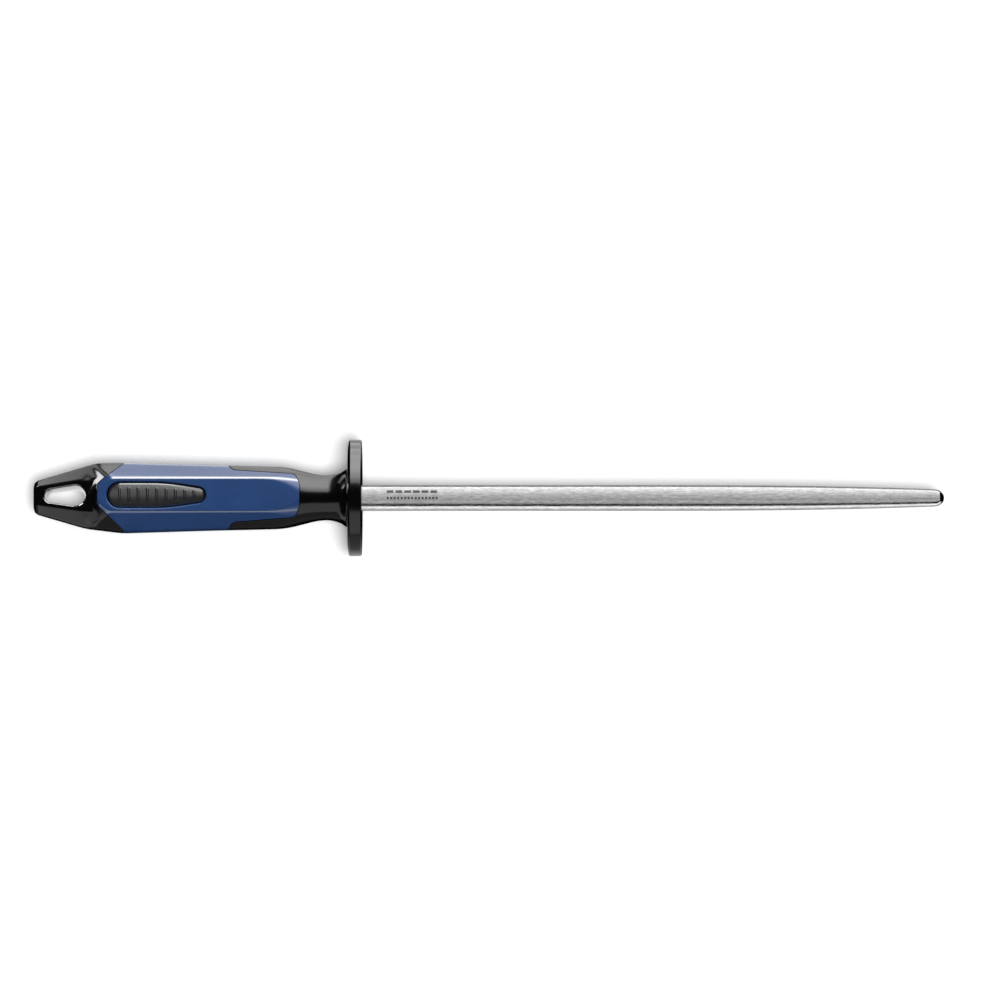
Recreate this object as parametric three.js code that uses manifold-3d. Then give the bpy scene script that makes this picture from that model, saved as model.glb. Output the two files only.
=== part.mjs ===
// Knife sharpening steel: a round steel with a forged tang, a disc guard, and a two-colour
// handle with a hanging hole in its end. Millimetres, +Z up.
//
// X runs along the steel: X = 0 is the guard's front face, +X leads to the tip and -X to the
// end of the handle. +Z leaves the face that carries the badge. Y is across the handle.

import * as THREE from 'three';
import { mergeVertices } from 'three/addons/utils/BufferGeometryUtils.js';
import Module from 'manifold-3d';

// The clearance that every two touching pieces keep.
const GAP = 0.3;

// The steel: a parallel stretch, then a taper to a domed nose.
const STEEL_LENGTH = 250;
const STEEL_RADIUS = 5.5;
const PARALLEL_LENGTH = 130;
const TIP_RADIUS = 3.7;
const TAPER_POWER = 2.4;
const NOSE_LENGTH = 4.2;
const TAPER_STEPS = 9;
const NOSE_STEPS = 6;

// The tang, square in section and notched on both sides so that the core grips it.
const STEEL_ROOT_X = -20;
const TANG_END_X = -98;
const TANG_HALF = 3.8;
const NOTCH_DEPTH = 1.4;
const NOTCH_LENGTH = 7;
const NOTCH_SLOPE = 1.5;
const NOTCH_CENTRES = [-44, -66, -86];
const TANG_POINT_LENGTH = 4;
const TANG_POINT_HALF = 1.8;
const TANG_OVERLAP = 1;

// The guard: a disc that is flat near the steel and falls away slightly towards its rim.
const GUARD_RADIUS = 25;
const GUARD_THICKNESS = 6.3;
const GUARD_FLAT_RADIUS = 19;
const GUARD_FRONT_FALL = 0.2;
const GUARD_BACK_FALL = 0.5;
const GUARD_EDGE_RADIUS = 0.9;
const GUARD_EDGE_STEPS = 4;
const GUARD_WEB = 2;
const SPIGOT_RADIUS = 8;

// The handle's outer shape. Its section is an octagon with rounded corners: a flat above and
// below, a wide bevel at each side of them, and a narrow upright side between the bevels.
const NECK_FACE_X = -GUARD_THICKNESS - GAP;
const SHOULDER_X = -113.8;
const HANDLE_END_X = -141.1;
const BODY_FLAT = 7.4;
const BODY_HEIGHT = 12;
const BODY_RIDGE = 3;
const CORNER_SHARPNESS = 36;
const END_ROUNDING = 2.2;
const END_ROUNDING_STEPS = [0, 0.15, 0.5];
const HANDLE_SIDES = 48;
const ROUND_SIDES = 36;
const GUARD_SIDES = 60;
const NECK_STEPS = 120;

// The thinner tab behind the shoulder, at the shoulder and at the end of the handle.
const TAB_FLAT = [8, 3.9];
const TAB_HEIGHT = [9.4, 7];
const TAB_RIDGE = [3, 2.6];
const SHOULDER_LENGTH = 9;
const SHOULDER_EASE = 3;

// A facet cuts each corner of the body's back end: its normal's parts towards the side, up and
// back, and its distance from the axis at the shoulder.
const FACET = { side: 0.49, up: 0.772, back: 0.406, reach: 10.7, least: 4 };

// Half widths of the handle along X, for the two long edges, which differ near the tab.
const EDGE_FAR = [[-141.1, 6.6], [-113.8, 14.85], [-104, 15], [-66, 14], [-40, 13.3]];
const EDGE_NEAR = [[-141.1, 6.7], [-118.8, 13.25], [-103, 15.2], [-66, 14.05], [-40, 13.45]];

// Radius of the round neck along X, from the guard to where the octagon takes over.
const NECK = [
  [-6.6, 12.7], [-9.3, 10.95], [-12, 10.05], [-15.5, 9.65], [-20, 10.15],
  [-25, 11.35], [-30, 12.6], [-36, 13.7], [-44, 15], [-54, 17], [-66, 20],
];
const ARCH_START_X = -46;
const ARCH_END_X = -22;

// The grip shell, a skin moulded over the core. Its plan wraps the whole handle in the middle
// and runs on as a tongue over each flat, to the shoulder behind and to the neck in front.
const SHELL_THICKNESS = 2;
const WRAP_FRONT_X = -57.5;
const WRAP_BACK_X = -102;
const PANEL_FRONT_X = -26.8;
const BEYOND_HANDLE = 20;
const BACK_TONGUE = [[SHOULDER_X, 4.7], [-110.1, 7.9], [WRAP_BACK_X - 0.4, 14.6]];
const FRONT_TONGUE = [
  [WRAP_FRONT_X, 13.2], [WRAP_FRONT_X + 1.3, 11.8], [WRAP_FRONT_X + 4, 10.9],
  [-29.4, 9.6], [-28.4, 9], [PANEL_FRONT_X, 5],
];
const WRAP_CORNER = [1.2, 0.6];
const PLAN_HEIGHT = BODY_HEIGHT + 4;

// The badge, a tapered oval that stands in a window of the shell.
const BADGE_BACK_X = -103.7;
const BADGE_BACK_RADIUS = 5.3;
const BADGE_WAIST_X = -91;
const BADGE_FRONT_X = -70.6;
const BADGE_FRONT_RADIUS = 3.2;
const BADGE_RISE = 0.8;
const BADGE_EDGE = 0.5;
const BADGE_HANDLE = { length: 8, rise: 1.2 };
const RIB_COUNT = 9;
const RIB_FIRST_X = -104;
const RIB_PITCH = 4;
const RIB_THICKNESS = 1.1;
const RIB_RISE = 0.45;
const RIB_MARGIN = [2.2, 1.4];
const RIB_ROOT = 1;

// The hanging hole, a teardrop through the tab that draws in to a waist at half its depth.
const HOLE_LARGE = { x: -123.2, radius: 4.35 };
const HOLE_SMALL = { x: -133.4, radius: 2.85 };
const HOLE_CHAMFER = 0.8;
const HOLE_CHAMFER_WIDTH = 0.56;
const HOLE_WAIST = 0.35;
const HOLE_END_WAIST = 1;
const HOLE_SEGMENTS = 12;

// Rings of the handle's skin along each stretch, from the tab to the neck, and the radius that
// a ring has before it is pushed out to the handle's shape.
const RINGS = { tab: 3, shoulder: 6, back: 4, middle: 3, arch: 7, neck: 6 };
const RING_RADIUS = 1;

// Corners closer than this are one corner.
const MERGE_DISTANCE = 1e-4;

// How far a cutter runs past the surface that it opens.
const OVERRUN = 2;

const wasm = await Module();
wasm.setup();

// ---------- solids ----------

// A closed geometry as a manifold solid, without the slivers at a lathe's poles.
function toSolid(geometry) {
  const bare = geometry.clone();
  bare.deleteAttribute('normal');
  bare.deleteAttribute('uv');
  const merged = mergeVertices(bare, MERGE_DISTANCE);
  const corners = merged.index.array;
  const kept = [];
  for (let i = 0; i < corners.length; i += 3) {
    const [a, b, c] = [corners[i], corners[i + 1], corners[i + 2]];
    if (a !== b && b !== c && c !== a) kept.push(a, b, c);
  }
  return new wasm.Manifold(new wasm.Mesh({
    numProp: 3,
    vertProperties: Float32Array.from(merged.attributes.position.array),
    triVerts: Uint32Array.from(kept),
  }));
}

function toMesh(name, solid, look) {
  const result = solid.getMesh();
  const geometry = new THREE.BufferGeometry();
  geometry.setAttribute('position', new THREE.BufferAttribute(result.vertProperties, 3));
  geometry.setIndex(new THREE.BufferAttribute(result.triVerts, 1));
  geometry.computeVertexNormals();
  const mesh = new THREE.Mesh(geometry, new THREE.MeshStandardMaterial(look));
  mesh.name = name;
  return mesh;
}

// A solid turned about the X axis from [x, radius] points, in order from -X to +X.
function turned(profile, segments) {
  const points = profile.map(([x, radius]) => new THREE.Vector2(radius, x));
  return new THREE.LatheGeometry(points, segments).rotateZ(-Math.PI / 2);
}

// A plan outline pushed up from z = low to z = high.
function raised(shape, low, high, curveSegments = 8, steps = 1) {
  const settings = { depth: high - low, bevelEnabled: false, curveSegments, steps };
  return new THREE.ExtrudeGeometry(shape, settings).translate(0, 0, low);
}

// A closed plan outline from its upper half, mirrored across the X axis.
function mirroredShape(half) {
  const mirrored = half.map(([x, y]) => [x, -y]).reverse();
  return new THREE.Shape([...half, ...mirrored].map(([x, y]) => new THREE.Vector2(x, y)));
}

function spread(from, to, count) {
  return Array.from({ length: count }, (_, i) => from + ((to - from) * i) / count);
}

function blend(from, to, share) {
  return from + (to - from) * share;
}

// The height of a broken line through [x, value] points, in rising order of x.
function along(line, x) {
  const next = line.findIndex((point) => point[0] >= x);
  if (next === 0) return line[0][1];
  if (next < 0) return line[line.length - 1][1];
  const [[x0, value0], [x1, value1]] = [line[next - 1], line[next]];
  return blend(value0, value1, (x - x0) / (x1 - x0));
}

// ---------- the handle's outer shape ----------

const neckCurve = new THREE.SplineCurve(NECK.map(([x, radius]) => new THREE.Vector2(x, radius)));
const neckLine = neckCurve.getPoints(NECK_STEPS).map((point) => [point.x, point.y]).reverse();

// The radius of a rounded octagon at an angle about X, set in by a distance from every side.
function octagonRadius(angle, { halfWidth, flat, height, ridge, facet, neck }, inset) {
  const across = Math.abs(Math.cos(angle));
  const up = Math.abs(Math.sin(angle));
  const slope = (height - ridge) / (halfWidth - flat);
  const steepness = Math.hypot(slope, 1);
  const limits = [
    up / (height - inset),
    across / (halfWidth - inset),
    (slope * across + up) / (slope * flat + height - inset * steepness),
    (FACET.side * across + FACET.up * up) / (facet - inset),
    1 / (neck - inset),
  ];
  const total = limits.reduce((sum, limit) => sum + limit ** CORNER_SHARPNESS, 0);
  return total ** (-1 / CORNER_SHARPNESS);
}

// The handle's radius at x and an angle about X. Angle 0 is +Y and a quarter turn is +Z.
function handleRadius(x, angle, inset) {
  const halfWidth = along(Math.cos(angle) > 0 ? EDGE_FAR : EDGE_NEAR, x);
  const neck = x > NECK[NECK.length - 1][0] ? along(neckLine, x) : NECK[NECK.length - 1][1];
  const facet = Math.max(FACET.reach + FACET.back * (x - SHOULDER_X), FACET.least);
  const body = {
    halfWidth, flat: BODY_FLAT, height: BODY_HEIGHT, ridge: BODY_RIDGE, facet, neck,
  };
  const bodyRadius = octagonRadius(angle, body, inset);
  if (x >= SHOULDER_X) return bodyRadius;
  const back = (SHOULDER_X - x) / (SHOULDER_X - HANDLE_END_X);
  const tab = {
    halfWidth,
    flat: blend(...TAB_FLAT, back),
    height: blend(...TAB_HEIGHT, back),
    ridge: blend(...TAB_RIDGE, back),
    facet: Infinity,
    neck,
  };
  const shoulder = Math.max(0, 1 - (SHOULDER_X - x) / SHOULDER_LENGTH) ** SHOULDER_EASE;
  const toEnd = Math.min(Math.max(x - HANDLE_END_X, 0), END_ROUNDING);
  const rounding = END_ROUNDING - Math.sqrt(END_ROUNDING ** 2 - (END_ROUNDING - toEnd) ** 2);
  return blend(octagonRadius(angle, tab, inset), bodyRadius, shoulder) - rounding;
}

// The whole handle as one closed skin, set in by a distance: a lathe whose rings are pushed
// out to the handle's shape.
function handleSkin(inset, segments) {
  const tabEnd = HANDLE_END_X + inset;
  const stations = [
    ...END_ROUNDING_STEPS.map((share) => tabEnd + share * END_ROUNDING),
    ...spread(tabEnd + END_ROUNDING, SHOULDER_X - SHOULDER_LENGTH, RINGS.tab),
    ...spread(SHOULDER_X - SHOULDER_LENGTH, SHOULDER_X, RINGS.shoulder),
    ...spread(SHOULDER_X, WRAP_BACK_X, RINGS.back),
    ...spread(WRAP_BACK_X, ARCH_START_X, RINGS.middle),
    ...spread(ARCH_START_X, ARCH_END_X, RINGS.arch),
    ...spread(ARCH_END_X, NECK_FACE_X, RINGS.neck),
    NECK_FACE_X,
  ];
  const first = stations[0];
  const profile = [[first, 0], ...stations.map((x) => [x, RING_RADIUS]), [NECK_FACE_X, 0]];
  const geometry = turned(profile, segments);
  const position = geometry.attributes.position;
  for (let i = 0; i < position.count; i += 1) {
    const [x, y, z] = [position.getX(i), position.getY(i), position.getZ(i)];
    const onSkin = Math.hypot(y, z) > RING_RADIUS / 2;
    if (onSkin) {
      const angle = Math.atan2(z, y);
      const radius = handleRadius(x - (x < SHOULDER_X ? inset : 0), angle, inset);
      position.setXYZ(i, x, radius * Math.cos(angle), radius * Math.sin(angle));
    }
  }
  return toSolid(geometry);
}

// The grip shell's plan, grown by a margin.
function gripPlan(margin) {
  const [shoulder, corner, wrapBack] = BACK_TONGUE;
  const [cornerLength, cornerEase] = WRAP_CORNER;
  return raised(mirroredShape([
    [shoulder[0] - margin, shoulder[1] + margin / 2],
    [corner[0] - margin, corner[1] + margin],
    [wrapBack[0] - margin, wrapBack[1] + margin / 2],
    [WRAP_BACK_X + cornerLength - margin, BEYOND_HANDLE],
    [WRAP_FRONT_X - cornerEase + margin, BEYOND_HANDLE],
    ...FRONT_TONGUE.slice(0, -1).map(([x, y]) => [x + margin, y + margin]),
    [PANEL_FRONT_X + margin, FRONT_TONGUE[FRONT_TONGUE.length - 1][1]],
  ]), -PLAN_HEIGHT, PLAN_HEIGHT);
}

// ---------- the pieces ----------

// The tang's plan, notched on both sides, grown by a clearance.
function tangPlan(clearance) {
  const edge = TANG_HALF + clearance;
  const side = [[STEEL_ROOT_X + TANG_OVERLAP, edge]];
  for (const centre of NOTCH_CENTRES) {
    const reach = NOTCH_LENGTH / 2 - clearance;
    side.push([centre + reach, edge], [centre + reach - NOTCH_SLOPE, edge - NOTCH_DEPTH]);
    side.push([centre - reach + NOTCH_SLOPE, edge - NOTCH_DEPTH], [centre - reach, edge]);
  }
  side.push([TANG_END_X + TANG_POINT_LENGTH - clearance, edge]);
  side.push([TANG_END_X - clearance, TANG_POINT_HALF + clearance]);
  return toSolid(raised(mirroredShape(side), -edge, edge));
}

function makeSteel() {
  const taper = spread(PARALLEL_LENGTH, STEEL_LENGTH - NOSE_LENGTH, TAPER_STEPS).map((x) => {
    const share = (x - PARALLEL_LENGTH) / (STEEL_LENGTH - NOSE_LENGTH - PARALLEL_LENGTH);
    return [x, STEEL_RADIUS - (STEEL_RADIUS - TIP_RADIUS) * share ** TAPER_POWER];
  });
  const nose = spread(0, Math.PI / 2, NOSE_STEPS).map((turn) => [
    STEEL_LENGTH - NOSE_LENGTH + NOSE_LENGTH * Math.sin(turn),
    TIP_RADIUS * Math.cos(turn),
  ]);
  const root = [[STEEL_ROOT_X, 0], [STEEL_ROOT_X, STEEL_RADIUS]];
  const bar = toSolid(turned([...root, ...taper, ...nose, [STEEL_LENGTH, 0]], ROUND_SIDES));
  return toMesh('steel_rod', bar.add(tangPlan(0)), {
    color: 0xb4b6b8, roughness: 0.28, metalness: 1,
  });
}

function makeGuard() {
  const bore = STEEL_RADIUS + GAP;
  const socket = SPIGOT_RADIUS + GAP;
  const corner = (centreX, from, to) => spread(from, to, GUARD_EDGE_STEPS).map((turn) => [
    centreX + GUARD_EDGE_RADIUS * Math.sin(turn),
    GUARD_RADIUS - GUARD_EDGE_RADIUS + GUARD_EDGE_RADIUS * Math.cos(turn),
  ]);
  const profile = [
    [-GUARD_WEB, bore],
    [-GUARD_WEB, socket],
    [-GUARD_THICKNESS, socket],
    [-GUARD_THICKNESS, GUARD_FLAT_RADIUS],
    ...corner(GUARD_BACK_FALL + GUARD_EDGE_RADIUS - GUARD_THICKNESS, -Math.PI / 2, 0),
    [GUARD_BACK_FALL + GUARD_EDGE_RADIUS - GUARD_THICKNESS, GUARD_RADIUS],
    ...corner(-GUARD_FRONT_FALL - GUARD_EDGE_RADIUS, 0, Math.PI / 2),
    [-GUARD_FRONT_FALL, GUARD_RADIUS - GUARD_EDGE_RADIUS],
    [0, GUARD_FLAT_RADIUS],
    [0, bore],
    [-GUARD_WEB, bore],
  ];
  return toMesh('hand_guard', toSolid(turned(profile, GUARD_SIDES)), {
    color: 0x1c1c1d, roughness: 0.42, metalness: 0,
  });
}

// The teardrop's plan, grown by a margin.
function teardrop(margin) {
  const span = HOLE_LARGE.x - HOLE_SMALL.x;
  const lean = Math.acos((HOLE_LARGE.radius - HOLE_SMALL.radius) / span);
  const shape = new THREE.Shape();
  const [from, to] = [lean - Math.PI, Math.PI - lean];
  shape.absarc(HOLE_LARGE.x, 0, HOLE_LARGE.radius + margin, from, to, false);
  shape.absarc(HOLE_SMALL.x, 0, HOLE_SMALL.radius + margin, to, from, false);
  return shape;
}

// The hole's cutter: drawn in at its waist, and wider at both mouths by a chamfer.
function makeHoleCutter() {
  const mouthZ = blend(...TAB_HEIGHT, 0.5) - HOLE_CHAMFER;
  const reach = mouthZ + OVERRUN / 2;
  const tube = raised(teardrop(0), -reach, reach, HOLE_SEGMENTS, 2);
  const position = tube.attributes.position;
  for (let i = 0; i < position.count; i += 1) {
    const [x, y, z] = [position.getX(i), position.getY(i), position.getZ(i)];
    const atWaist = Math.abs(z) < reach / 2;
    if (atWaist) {
      const spine = Math.min(Math.max(x, HOLE_SMALL.x), HOLE_LARGE.x);
      const bySmallEnd = Math.min(Math.max((spine - x) / HOLE_SMALL.radius, 0), 1);
      const inset = blend(HOLE_WAIST, HOLE_END_WAIST, bySmallEnd);
      const share = 1 - inset / Math.hypot(x - spine, y);
      position.setXYZ(i, spine + (x - spine) * share, y * share, z);
    }
  }
  const mouth = teardrop(HOLE_CHAMFER_WIDTH);
  return toSolid(tube)
    .add(toSolid(raised(mouth, mouthZ, PLAN_HEIGHT, HOLE_SEGMENTS)))
    .add(toSolid(raised(mouth, -PLAN_HEIGHT, -mouthZ, HOLE_SEGMENTS)));
}

function makeCore() {
  const exposed = handleSkin(0, HANDLE_SIDES).subtract(toSolid(gripPlan(GAP / 2)));
  const underShell = handleSkin(SHELL_THICKNESS + GAP, HANDLE_SIDES / 2);
  const spigot = toSolid(turned([
    [NECK_FACE_X - OVERRUN, 0], [NECK_FACE_X - OVERRUN, SPIGOT_RADIUS],
    [-GUARD_WEB - GAP, SPIGOT_RADIUS], [-GUARD_WEB - GAP, 0],
  ], ROUND_SIDES));
  const steelBore = toSolid(turned([
    [STEEL_ROOT_X - GAP, 0], [STEEL_ROOT_X - GAP, STEEL_RADIUS + GAP],
    [OVERRUN, STEEL_RADIUS + GAP], [OVERRUN, 0],
  ], ROUND_SIDES));
  const core = exposed.add(underShell).add(spigot)
    .subtract(steelBore.add(tangPlan(GAP)))
    .subtract(makeHoleCutter());
  return toMesh('handle_core', core, { color: 0x1a1a1b, roughness: 0.38, metalness: 0 });
}

// The badge's plan, grown by a margin: a round back end, long sides that draw in, a round nose.
function badgeShape(margin) {
  const back = BADGE_BACK_RADIUS + margin;
  const front = BADGE_FRONT_RADIUS + margin;
  const waistHandle = [BADGE_WAIST_X + BADGE_HANDLE.length, back];
  const frontHandle = [BADGE_FRONT_X - BADGE_HANDLE.length, front + BADGE_HANDLE.rise];
  const shape = new THREE.Shape();
  shape.absarc(BADGE_BACK_X, 0, back, Math.PI / 2, Math.PI * 1.5, false);
  shape.lineTo(BADGE_WAIST_X, -back);
  shape.bezierCurveTo(
    waistHandle[0], -waistHandle[1], frontHandle[0], -frontHandle[1], BADGE_FRONT_X, -front,
  );
  shape.absarc(BADGE_FRONT_X, 0, front, -Math.PI / 2, Math.PI / 2, false);
  shape.bezierCurveTo(...frontHandle, ...waistHandle, BADGE_WAIST_X, back);
  return shape;
}

function makeShell() {
  const shell = handleSkin(0, HANDLE_SIDES).subtract(handleSkin(SHELL_THICKNESS, HANDLE_SIDES))
    .intersect(toSolid(gripPlan(-GAP / 2)))
    .subtract(toSolid(raised(badgeShape(GAP), 0, PLAN_HEIGHT)));
  return toMesh('grip_shell', shell, { color: 0x2b436f, roughness: 0.45, metalness: 0 });
}

function makeBadge() {
  const foot = BODY_HEIGHT - SHELL_THICKNESS;
  const top = BODY_HEIGHT + BADGE_RISE;
  let badge = toSolid(raised(badgeShape(0), foot, top - BADGE_EDGE))
    .add(toSolid(raised(badgeShape(-BADGE_EDGE), foot, top)));
  for (let i = 0; i < RIB_COUNT; i += 1) {
    const narrowing = i / (RIB_COUNT - 1);
    const halfLength = blend(
      BADGE_BACK_RADIUS - RIB_MARGIN[0], BADGE_FRONT_RADIUS - RIB_MARGIN[1], narrowing ** 2,
    );
    const rib = new THREE.BoxGeometry(RIB_THICKNESS, 2 * halfLength, RIB_ROOT + RIB_RISE)
      .translate(RIB_FIRST_X + i * RIB_PITCH, 0, top + (RIB_RISE - RIB_ROOT) / 2);
    badge = badge.add(toSolid(rib));
  }
  return toMesh('badge_insert', badge, { color: 0x2a2b2d, roughness: 0.3, metalness: 0 });
}

const steel = new THREE.Group();
steel.add(makeSteel(), makeGuard(), makeCore(), makeShell(), makeBadge());

export default steel;
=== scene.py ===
"""Looks of a butcher's sharpening steel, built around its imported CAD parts.

Lengths are millimetres until a mesh is made. X runs along the steel, from the guard's front face
at 0 to the tip at +X and the end of the handle at -X. +Z leaves the face that carries the badge.
Angles about X start at +Y and turn towards +Z.
"""

import math

import bpy
import numpy as np
from mathutils import Matrix, Vector


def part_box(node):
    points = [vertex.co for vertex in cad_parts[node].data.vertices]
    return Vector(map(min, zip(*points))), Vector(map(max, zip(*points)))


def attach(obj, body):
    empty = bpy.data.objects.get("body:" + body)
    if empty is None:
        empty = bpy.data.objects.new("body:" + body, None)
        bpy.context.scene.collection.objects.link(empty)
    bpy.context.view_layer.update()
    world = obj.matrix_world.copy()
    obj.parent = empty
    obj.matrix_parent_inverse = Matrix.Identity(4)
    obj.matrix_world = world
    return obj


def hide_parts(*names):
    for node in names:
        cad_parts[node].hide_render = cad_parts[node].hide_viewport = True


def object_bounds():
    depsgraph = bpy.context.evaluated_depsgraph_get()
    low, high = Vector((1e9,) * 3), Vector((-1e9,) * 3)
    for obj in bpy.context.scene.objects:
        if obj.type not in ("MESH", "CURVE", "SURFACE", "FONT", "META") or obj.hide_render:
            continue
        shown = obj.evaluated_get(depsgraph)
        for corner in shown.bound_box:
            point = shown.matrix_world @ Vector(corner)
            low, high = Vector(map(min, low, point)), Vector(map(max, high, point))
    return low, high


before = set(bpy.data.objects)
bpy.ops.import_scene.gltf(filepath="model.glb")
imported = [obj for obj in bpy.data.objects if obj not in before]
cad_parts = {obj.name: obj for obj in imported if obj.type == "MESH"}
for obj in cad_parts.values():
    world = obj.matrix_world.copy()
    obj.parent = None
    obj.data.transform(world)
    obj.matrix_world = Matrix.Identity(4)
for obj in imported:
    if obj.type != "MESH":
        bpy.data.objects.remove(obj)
cad_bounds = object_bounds()

PER_METRE = 1000


def corners(node):
    low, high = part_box(node)
    return low * PER_METRE, high * PER_METRE


STEEL_LOW, STEEL_HIGH = corners("steel_rod")
GUARD_LOW, GUARD_HIGH = corners("hand_guard")
CORE_LOW, CORE_HIGH = corners("handle_core")
SHELL_LOW, SHELL_HIGH = corners("grip_shell")
BADGE_LOW, BADGE_HIGH = corners("badge_insert")

# The handle's outer shape, as in the CAD part: an octagon with rounded corners that a round neck
# narrows in front and a thinner tab follows behind.
HANDLE_END = CORE_LOW.x
SHOULDER = HANDLE_END + 27.3
CLEARANCE = 0.3
NECK_FACE = GUARD_LOW.x - CLEARANCE
BODY = {"flat": 7.4, "height": SHELL_HIGH.z, "ridge": 3}
TAB_FLAT = (8, 3.9)
TAB_HEIGHT = (9.4, 7)
TAB_RIDGE = (3, 2.6)
SHOULDER_LENGTH = 9
SHOULDER_SOFTNESS = 1.1
SHOULDER_EASE = 3
END_ROUNDING = 2.2
CORNER_SHARPNESS = 44

# A facet cuts each corner of the body's back end: its normal's parts towards the side, up and
# back, and its distance from the axis at the shoulder.
FACET_SIDE = 0.49
FACET_UP = 0.772
FACET_BACK = 0.406
FACET_REACH = 10.7
FACET_LEAST = 4
NO_FACET = 100

# Half widths at distances from the handle's end, for the +Y and the -Y edge.
EDGE_FAR = ((0, 6.6), (27.3, 14.85), (37.1, 15), (75.1, 14), (101.1, 13.3))
EDGE_NEAR = ((0, 6.7), (22.3, 13.25), (38.1, 15.2), (75.1, 14.05), (101.1, 13.45))
EDGE_SOFTNESS = 2.5

# The neck's radius at distances behind its front face.
NECK = (
    (0, 12.7), (2.7, 10.95), (5.4, 10.05), (8.9, 9.65), (13.4, 10.15), (18.4, 11.35),
    (23.4, 12.6), (29.4, 13.7), (37.4, 15), (47.4, 17), (59.4, 20),
)

# The grip shell and what it covers.
SHELL_THICKNESS = 2
WRAP_FRONT = NECK_FACE - 50.9
WRAP_BACK = SHOULDER + 11.8
PANEL_FRONT = NECK_FACE - 20.2
SEAM = 0.07
SEAM_ROUNDING = 0.22
LIP_SHINE = 0.35
BACK_LIP_EXTRA = 0.35
BACK_LIP_LENGTH = 3
BEYOND_HANDLE = 20
NEAR_RIM = 0.5
COVERED_DEPTH = SHELL_THICKNESS + CLEARANCE

# The badge and the window that it stands in.
BADGE_BACK_RADIUS = 5.3
BADGE_FRONT_RADIUS = 3.2
BADGE_BACK = BADGE_LOW.x + BADGE_BACK_RADIUS
BADGE_FRONT = BADGE_HIGH.x - BADGE_FRONT_RADIUS
BADGE_WAIST = BADGE_BACK + 12.7
BADGE_HANDLE = 8
BADGE_HANDLE_RISE = 1.2
BADGE_ROUNDING = 1.1
BADGE_CROWN = 0.8
RIB_COUNT = 9
RIB_PITCH = 4
RIB_THICKNESS = 1.1
RIB_RISE = 0.45
RIB_MARGIN_BACK = 2.2
RIB_MARGIN_FRONT = 1.4
RIB_START = 0.3
RIB_FULLNESS = 2.5
WINDOW_GAP = 0.5
WINDOW_ROUNDING = 0.7

# The hanging hole: the hull of two circles.
HOLE_LARGE = HANDLE_END + 17.9
HOLE_LARGE_RADIUS = 4.35
HOLE_SMALL = HANDLE_END + 7.7
HOLE_SMALL_RADIUS = 2.85
HOLE_ROUNDING = 0.8
HOLE_WAIST = 0.35
HOLE_END_WAIST = 1

# The guard.
GUARD_RADIUS = GUARD_HIGH.z
GUARD_FLAT_RADIUS = 19
GUARD_FRONT_FALL = 0.2
GUARD_BACK_FALL = 0.5
GUARD_ROUNDING = 0.9
GUARD_WEB = 2
SPIGOT_RADIUS = 8
GUARD_SIDES = 224
GUARD_RINGS = (10, 13, 16)

# The steel and its tang.
STEEL_RADIUS = 5.5
STEEL_ROOT = -20
STEEL_PARALLEL = 130
TIP_RADIUS = 3.7
TAPER_POWER = 2.4
NOSE_LENGTH = 4.2
GROOVE_COUNT = 96
GROOVE_DEPTH = 0.009
GROOVE_SIDES = 5
GROOVE_FADE = 3
GROOVE_SEED = 7
TANG_HALF = 3.8
NOTCH_DEPTH = 1.4
NOTCH_LENGTH = 7
NOTCH_SLOPE = 1.5
NOTCHES = (-44, -66, -86)
TANG_POINT_LENGTH = 4
TANG_POINT_INSET = 1.8
LEAST_SHARE = 1e-6

ROUND_STEPS = 6
FULL_TURN = 2 * math.pi


# ---------- meshes ----------


class Surface:
    """The points, normals and faces of one piece, gathered patch by patch."""

    def __init__(self):
        self.points = []
        self.normals = []
        self.edges = []
        self.faces = []
        self.count = 0

    def add(self, points, normals, edge=0.0):
        """Adds points, with 1 for those on a polished edge, and returns their numbers."""
        self.points.append(np.asarray(points, float).reshape(-1, 3))
        self.normals.append(np.asarray(normals, float).reshape(-1, 3))
        self.edges.append(np.broadcast_to(edge, len(self.points[-1])))
        first = self.count
        self.count += len(self.points[-1])
        return np.arange(first, self.count)

    def bridge(self, first, second, pairs):
        """Faces between two rows of points, along pairs of neighbours in the rows."""
        for a, b in pairs:
            self.faces.append((first[b], first[a], second[a], second[b]))

    def rings(self, rings):
        """Closed rings of points in order, each (points, normals), joined one to the next."""
        numbers = [self.add(*ring) for ring in rings]
        sides = len(numbers[0])
        pairs = [((i + 1) % sides, i) for i in range(sides)]
        for before, after in zip(numbers, numbers[1:]):
            self.bridge(before, after, pairs)
        return numbers

    def fan(self, ring, middle, normal):
        """A flat end across a ring of numbered points."""
        points = np.concatenate(self.points)[ring]
        rim = self.add(points, np.tile(normal, (len(ring), 1)))
        centre = self.add([middle], [normal])[0]
        for i in range(len(rim)):
            self.faces.append((rim[i], rim[(i + 1) % len(rim)], centre))

    def build(self, name, material, node):
        """The piece as a Blender object that rides on the body and stands for a CAD node."""
        data = bpy.data.meshes.new(name)
        points = np.concatenate(self.points) / PER_METRE
        normals = np.concatenate(self.normals)
        faces = [tuple(int(i) for i in face) for face in self.faces]
        data.from_pydata(points.tolist(), [], faces)
        data.shade_smooth()
        data.normals_split_custom_set_from_vertices(normals.tolist())
        data.materials.append(material)
        edges = data.attributes.new("edge", "FLOAT", "POINT")
        edges.data.foreach_set("value", np.concatenate(self.edges).astype(np.float32))
        piece = bpy.data.objects.new(name, data)
        bpy.context.scene.collection.objects.link(piece)
        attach(piece, "root")
        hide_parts(node)
        return piece


def unit(vectors):
    return vectors / np.linalg.norm(vectors, axis=-1, keepdims=True)


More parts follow.
